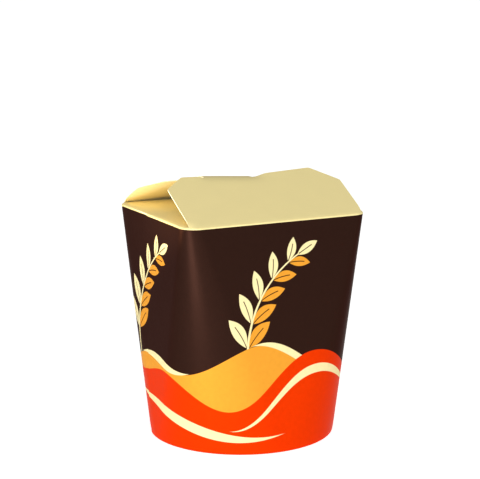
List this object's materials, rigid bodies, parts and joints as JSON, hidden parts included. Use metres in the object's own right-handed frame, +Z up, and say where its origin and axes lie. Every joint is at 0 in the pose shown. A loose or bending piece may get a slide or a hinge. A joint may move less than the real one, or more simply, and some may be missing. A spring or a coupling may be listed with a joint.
{
  "type": "noodle takeaway box",
  "caption": "Round-footed paperboard takeaway box with a square mouth, shut by level side flaps and leaning front and back flaps that lock with a tucked tongue.",
  "frame": {"origin": "middle of the foot, on the surface the box stands on", "axes": "+X to the right along the front face, +Y from the front face to the back, +Z up"},
  "size_m": [0.094, 0.089, 0.1264],
  "materials": {
    "printed_board": "satin dark brown print with orange-red, amber and cream fields",
    "cream_board": "satin pale yellow cream print on the outside, raw board at the cut edges",
    "base_board": "matt coated board"
  },
  "bodies": {
    "root": {"box_body": "printed_board", "base_disc": "base_board", "left_flap": "cream_board", "right_flap": "cream_board", "back_flap": "cream_board", "front_flap": "cream_board"}
  },
  "joints": []
}
